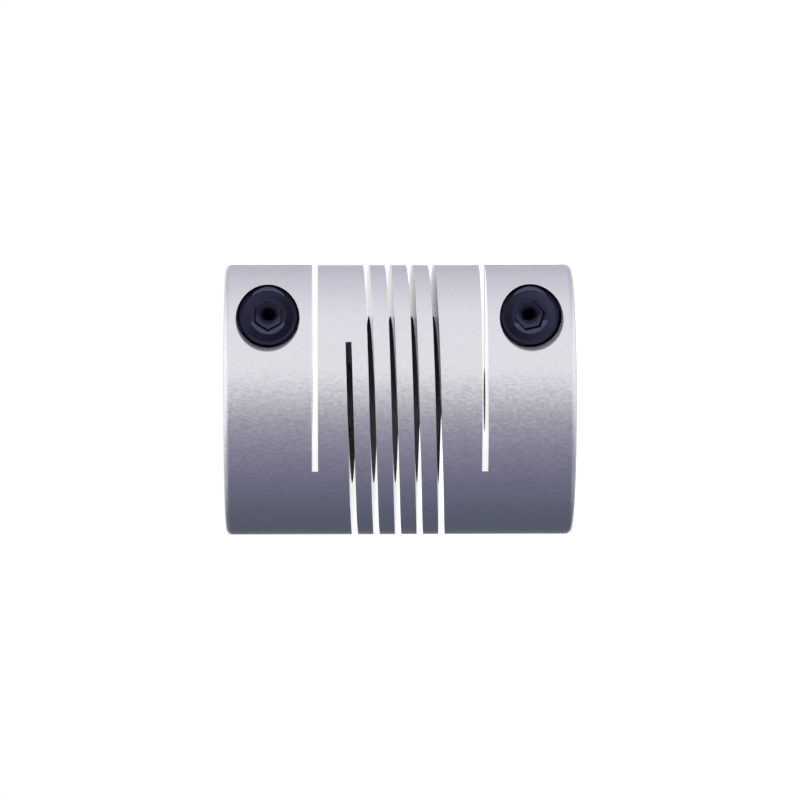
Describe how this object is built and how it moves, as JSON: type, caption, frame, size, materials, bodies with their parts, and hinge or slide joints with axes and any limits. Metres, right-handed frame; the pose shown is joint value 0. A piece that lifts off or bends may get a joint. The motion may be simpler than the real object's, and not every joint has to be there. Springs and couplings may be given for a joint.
{
  "type": "helical beam coupling",
  "caption": "Cylindrical clamp-type shaft coupling: a one-piece aluminium body with a helical slot that flexes between two split clamps, each closed by a black socket-head screw.",
  "frame": {"origin": "centre of the lower end face, on the coupling's axis", "axes": "+Z along the shaft axis towards the upper clamp; +X towards the split side of the clamps; the screw heads face -Y"},
  "size_m": [0.025, 0.025, 0.032],
  "materials": {
    "anodised_body": "satin clear-anodised turned aluminium",
    "black_screw": "blue-black oxide on alloy steel, slightly oily sheen"
  },
  "bodies": {
    "root": {"coupling_body": "anodised_body", "upper_clamp_screw": "black_screw", "lower_clamp_screw": "black_screw"}
  },
  "joints": []
}
